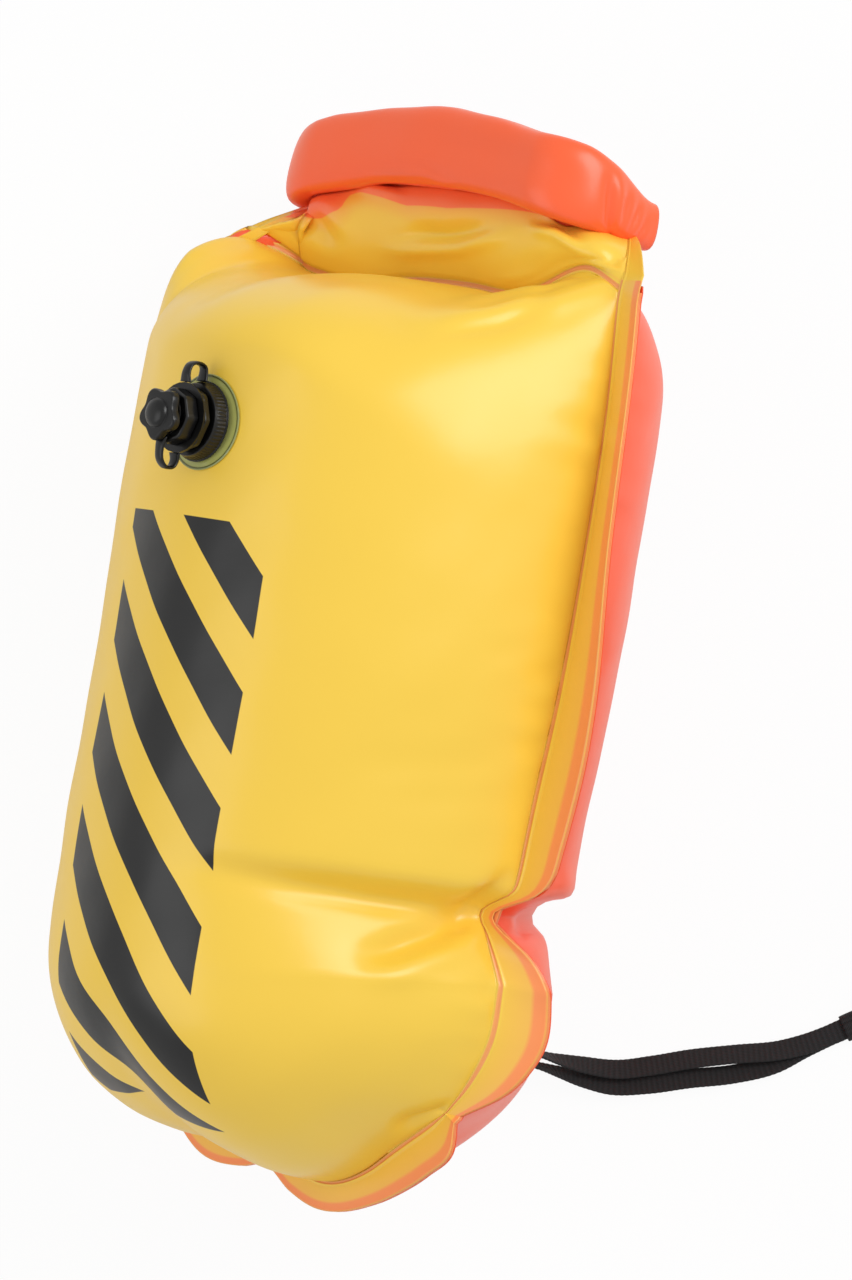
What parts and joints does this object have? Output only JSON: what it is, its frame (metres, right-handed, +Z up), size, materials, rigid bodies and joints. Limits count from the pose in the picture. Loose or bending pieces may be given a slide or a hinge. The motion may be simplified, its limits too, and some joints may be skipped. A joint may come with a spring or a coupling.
{
  "type": "open water swim buoy",
  "caption": "Inflated two-chamber swim buoy with a rolled-down dry compartment, screw inflation valves, and a webbing leash with its waist belt.",
  "frame": {"origin": "on the ground under the bag's middle, in the flat on which its lowest film rests", "axes": "+Y along the bag towards the roll-top, +Z up, +X towards the leash"},
  "size_m": [0.6236, 0.5475, 0.2625],
  "materials": {
    "yellow_film": "satin-gloss calendered PVC film, yellow",
    "orange_film": "satin-gloss calendered PVC film, orange",
    "inner_film": "PVC film, pale orange",
    "valve_flange": "clear greenish soft PVC",
    "black_plastic": "satin moulded nylon, black",
    "silicone": "soft silicone, dark grey",
    "webbing": "ribbed woven webbing, black",
    "black_steel": "black coated steel wire"
  },
  "bodies": {
    "buoy": {"front_panel": "yellow_film", "back_panel": "orange_film", "front_inner_panel": "inner_film", "back_inner_panel": "inner_film", "rolled_collar": "orange_film", "collar_stiffener": "black_plastic", "collar_left_tab": "webbing", "collar_right_tab": "webbing", "collar_buckle_female": "black_plastic", "anchor_patch": "orange_film", "anchor_lug": "webbing", "front_valve_flange": "valve_flange", "front_valve_base_ring": "black_plastic", "front_valve_plug_tether": "black_plastic", "back_valve_flange": "valve_flange", "back_valve_base_ring": "black_plastic", "back_valve_plug_tether": "black_plastic", "leash_upper_leg": "webbing", "leash_lower_leg": "webbing", "leash_keeper": "webbing", "leash_end_loop": "webbing", "waist_belt": "webbing", "belt_buckle_female": "black_plastic"},
    "collar_buckle_male": {"collar_buckle_male": "black_plastic"},
    "anchor_ring": {"anchor_ring": "black_steel"},
    "belt_buckle_male": {"belt_buckle_male": "black_plastic"},
    "belt_slider": {"belt_slider": "black_plastic"},
    "front_plug_swivel": {"front_valve_plug_swivel": "black_plastic", "front_valve_cap_tether": "black_plastic"},
    "front_plug": {"front_valve_plug": "black_plastic", "front_valve_seal": "silicone"},
    "front_flap": {"front_valve_flap": "silicone"},
    "front_cap_swivel": {"front_valve_cap_swivel": "black_plastic"},
    "front_cap": {"front_valve_cap": "black_plastic"},
    "back_plug_swivel": {"back_valve_plug_swivel": "black_plastic", "back_valve_cap_tether": "black_plastic"},
    "back_plug": {"back_valve_plug": "black_plastic", "back_valve_seal": "silicone"},
    "back_flap": {"back_valve_flap": "silicone"},
    "back_cap_swivel": {"back_valve_cap_swivel": "black_plastic"},
    "back_cap": {"back_valve_cap": "black_plastic"}
  },
  "joints": [
    {"name": "collar_buckle_release", "type": "slide", "parent": "buoy", "child": "collar_buckle_male", "axis": [0.7071, 0, 0.7071], "range_m": [0, 0.024], "deforming": ["collar_right_tab"]},
    {"name": "anchor_ring_swing", "type": "hinge", "parent": "buoy", "child": "anchor_ring", "pos_m": [0.08591, -0.16617, 0.04312], "axis": [-0.6512, -0.0915, -0.7534], "range_deg": [-20, 20], "deforming": ["leash_upper_leg", "leash_lower_leg"]},
    {"name": "belt_buckle_release", "type": "slide", "parent": "buoy", "child": "belt_buckle_male", "axis": [-0.9962, -0.0872, 0], "range_m": [0, 0.024], "deforming": ["waist_belt"]},
    {"name": "belt_slider_shift", "type": "hinge", "parent": "buoy", "child": "belt_slider", "pos_m": [0.3975, -0.0526, 0.0128], "axis": [0, 0, 1], "range_deg": [-5, 5], "deforming": ["waist_belt"]},
    {"name": "front_plug_lift", "type": "slide", "parent": "buoy", "child": "front_plug_swivel", "axis": [-0.7071, 0, 0.7071], "range_m": [0, 0.0045], "deforming": ["front_valve_plug_tether"]},
    {"name": "front_plug_turn", "type": "hinge", "parent": "front_plug_swivel", "child": "front_plug", "pos_m": [-0.09669, 0.12033, 0.22585], "axis": [-0.7071, 0, 0.7071], "range_deg": [0, 540], "deforming": ["front_valve_cap_tether"]},
    {"name": "front_flap_open", "type": "slide", "parent": "front_plug", "child": "front_flap", "axis": [0.7071, 0, -0.7071], "range_m": [0, 0.0012], "stiffness_N_per_m": 20, "springref_m": -0.0005},
    {"name": "front_cap_lift", "type": "slide", "parent": "front_plug", "child": "front_cap_swivel", "axis": [-0.7071, 0, 0.7071], "range_m": [0, 0.0026], "deforming": ["front_valve_cap_tether"]},
    {"name": "front_cap_turn", "type": "hinge", "parent": "front_cap_swivel", "child": "front_cap", "pos_m": [-0.09669, 0.12033, 0.22585], "axis": [-0.7071, 0, 0.7071], "range_deg": [0, 360]},
    {"name": "back_plug_lift", "type": "slide", "parent": "buoy", "child": "back_plug_swivel", "axis": [0.7776, -0.0011, -0.6288], "range_m": [0, 0.0045], "deforming": ["back_valve_plug_tether"]},
    {"name": "back_plug_turn", "type": "hinge", "parent": "back_plug_swivel", "child": "back_plug", "pos_m": [0.08448, 0.12033, 0.04471], "axis": [0.7776, -0.0011, -0.6288], "range_deg": [0, 540], "deforming": ["back_valve_cap_tether"]},
    {"name": "back_flap_open", "type": "slide", "parent": "back_plug", "child": "back_flap", "axis": [-0.7776, 0.0011, 0.6288], "range_m": [0, 0.0012], "stiffness_N_per_m": 20, "springref_m": -0.0005},
    {"name": "back_cap_lift", "type": "slide", "parent": "back_plug", "child": "back_cap_swivel", "axis": [0.7776, -0.0011, -0.6288], "range_m": [0, 0.0026], "deforming": ["back_valve_cap_tether"]},
    {"name": "back_cap_turn", "type": "hinge", "parent": "back_cap_swivel", "child": "back_cap", "pos_m": [0.08448, 0.12033, 0.04471], "axis": [0.7776, -0.0011, -0.6288], "range_deg": [0, 360]}
  ],
  "couplings": [
    {"joint": "front_plug_turn", "follows": "front_plug_lift", "rad_per_m": 2094.4},
    {"joint": "front_cap_turn", "follows": "front_cap_lift", "rad_per_m": 2416.6},
    {"joint": "back_plug_turn", "follows": "back_plug_lift", "rad_per_m": 2094.4},
    {"joint": "back_cap_turn", "follows": "back_cap_lift", "rad_per_m": 2416.6}
  ]
}
